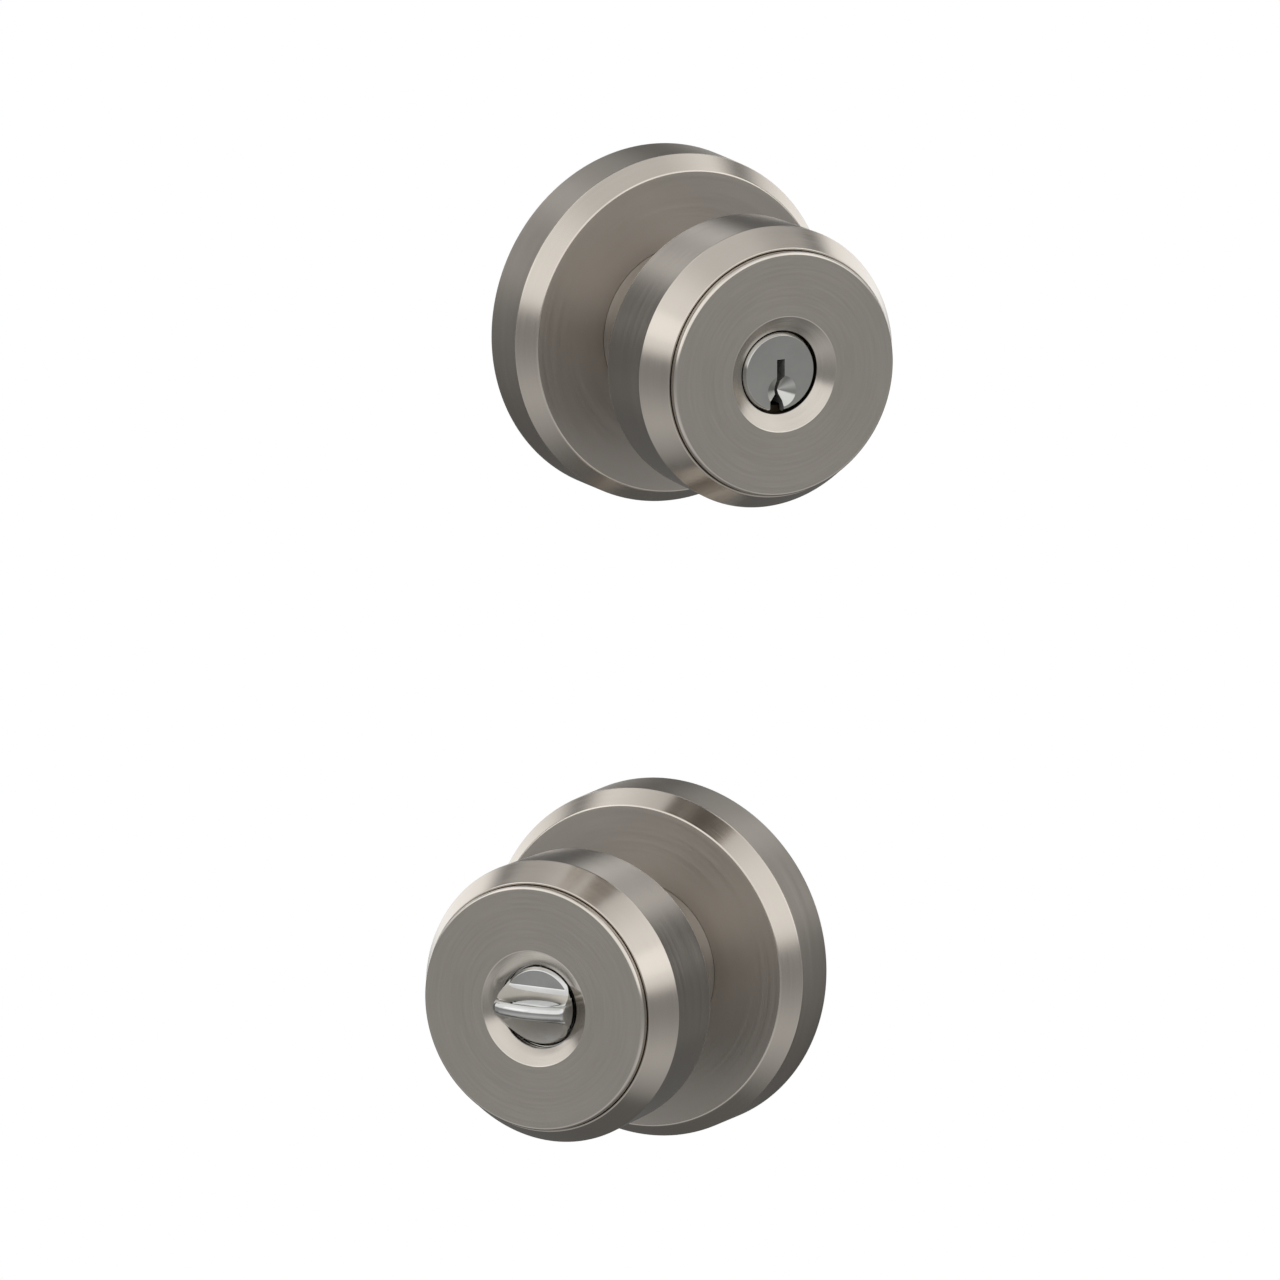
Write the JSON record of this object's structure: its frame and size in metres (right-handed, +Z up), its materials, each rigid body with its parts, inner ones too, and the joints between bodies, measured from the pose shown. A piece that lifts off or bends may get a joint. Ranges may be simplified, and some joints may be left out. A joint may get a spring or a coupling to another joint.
{
  "type": "keyed entry knob lockset",
  "caption": "Keyed entry door knob set: outside knob with a key cylinder above, inside knob with a turn button below, each on a bevelled round rose.",
  "frame": {"origin": "centre of the outside rose on the door's face", "axes": "+Z up; the outside knob's axis points out of the door, 28.457 degrees from -Y towards +X, and the inside knob's 28.457 degrees from -Y towards -X"},
  "size_m": [0.0878, 0.0995, 0.1892],
  "materials": {
    "satin_nickel": "satin nickel, circular brushing",
    "polished_chrome": "polished chrome plate",
    "plated_steel": "bright zinc-plated pressed steel",
    "spring_steel": "drawn spring wire",
    "brass": "machined brass",
    "zinc_plated": "die-cast zinc and plated screws"
  },
  "bodies": {
    "fixed_frame": {"outside_rose": "satin_nickel", "outside_chassis_plate": "plated_steel", "mounting_post_upper": "zinc_plated", "mounting_post_lower": "zinc_plated", "outside_return_spring": "spring_steel", "inside_rose": "satin_nickel", "inside_mounting_plate": "plated_steel", "screw_upper": "zinc_plated", "screw_lower": "zinc_plated", "inside_return_spring": "spring_steel"},
    "outside_knob": {"outside_knob_shell": "satin_nickel", "outside_knob_cap": "satin_nickel", "outside_knob_sleeve": "plated_steel", "outside_knob_insert": "zinc_plated", "outside_drive_cam": "plated_steel", "outside_retaining_ring": "spring_steel", "spindle": "plated_steel", "spindle_bushing": "zinc_plated", "cylinder_housing": "brass", "pin_chamber_cover": "brass", "driver_pin_1": "plated_steel", "driver_pin_2": "plated_steel", "driver_pin_3": "plated_steel", "driver_pin_4": "plated_steel", "driver_pin_5": "plated_steel", "pin_spring_1": "spring_steel", "pin_spring_2": "spring_steel", "pin_spring_3": "spring_steel", "pin_spring_4": "spring_steel", "pin_spring_5": "spring_steel"},
    "key_core": {"key_plug": "polished_chrome", "key_pin_1": "brass", "key_pin_2": "brass", "key_pin_3": "brass", "key_pin_4": "brass", "key_pin_5": "brass", "plug_retainer": "plated_steel", "tailpiece": "plated_steel"},
    "inside_knob": {"inside_knob_shell": "satin_nickel", "inside_knob_cap": "satin_nickel", "inside_knob_sleeve": "plated_steel", "inside_knob_insert": "zinc_plated", "inside_drive_cam": "plated_steel", "inside_retaining_ring": "spring_steel", "spindle_socket": "zinc_plated", "button_seat": "zinc_plated", "button_spring_washer": "spring_steel"},
    "button": {"turn_button": "polished_chrome", "button_stem": "plated_steel"}
  },
  "joints": [
    {"name": "outside_knob_turn", "type": "hinge", "parent": "fixed_frame", "child": "outside_knob", "pos_m": [0, 0, 0], "axis": [0.4765, -0.8792, 0], "range_deg": [-60, 60], "stiffness_Nm_per_rad": 0.15, "deforming": ["outside_return_spring"]},
    {"name": "key_plug_turn", "type": "hinge", "parent": "outside_knob", "child": "key_core", "pos_m": [0, 0, 0], "axis": [0.4765, -0.8792, 0], "range_deg": [-90, 90]},
    {"name": "inside_knob_turn", "type": "hinge", "parent": "fixed_frame", "child": "inside_knob", "pos_m": [0.00443, 0, -0.12244], "axis": [-0.4765, -0.8792, 0], "range_deg": [-60, 60], "stiffness_Nm_per_rad": 0.15, "deforming": ["inside_return_spring"]},
    {"name": "turn_button_turn", "type": "hinge", "parent": "inside_knob", "child": "button", "pos_m": [0.00443, 0, -0.12244], "axis": [-0.4765, -0.8792, 0], "range_deg": [-90, 0]}
  ]
}
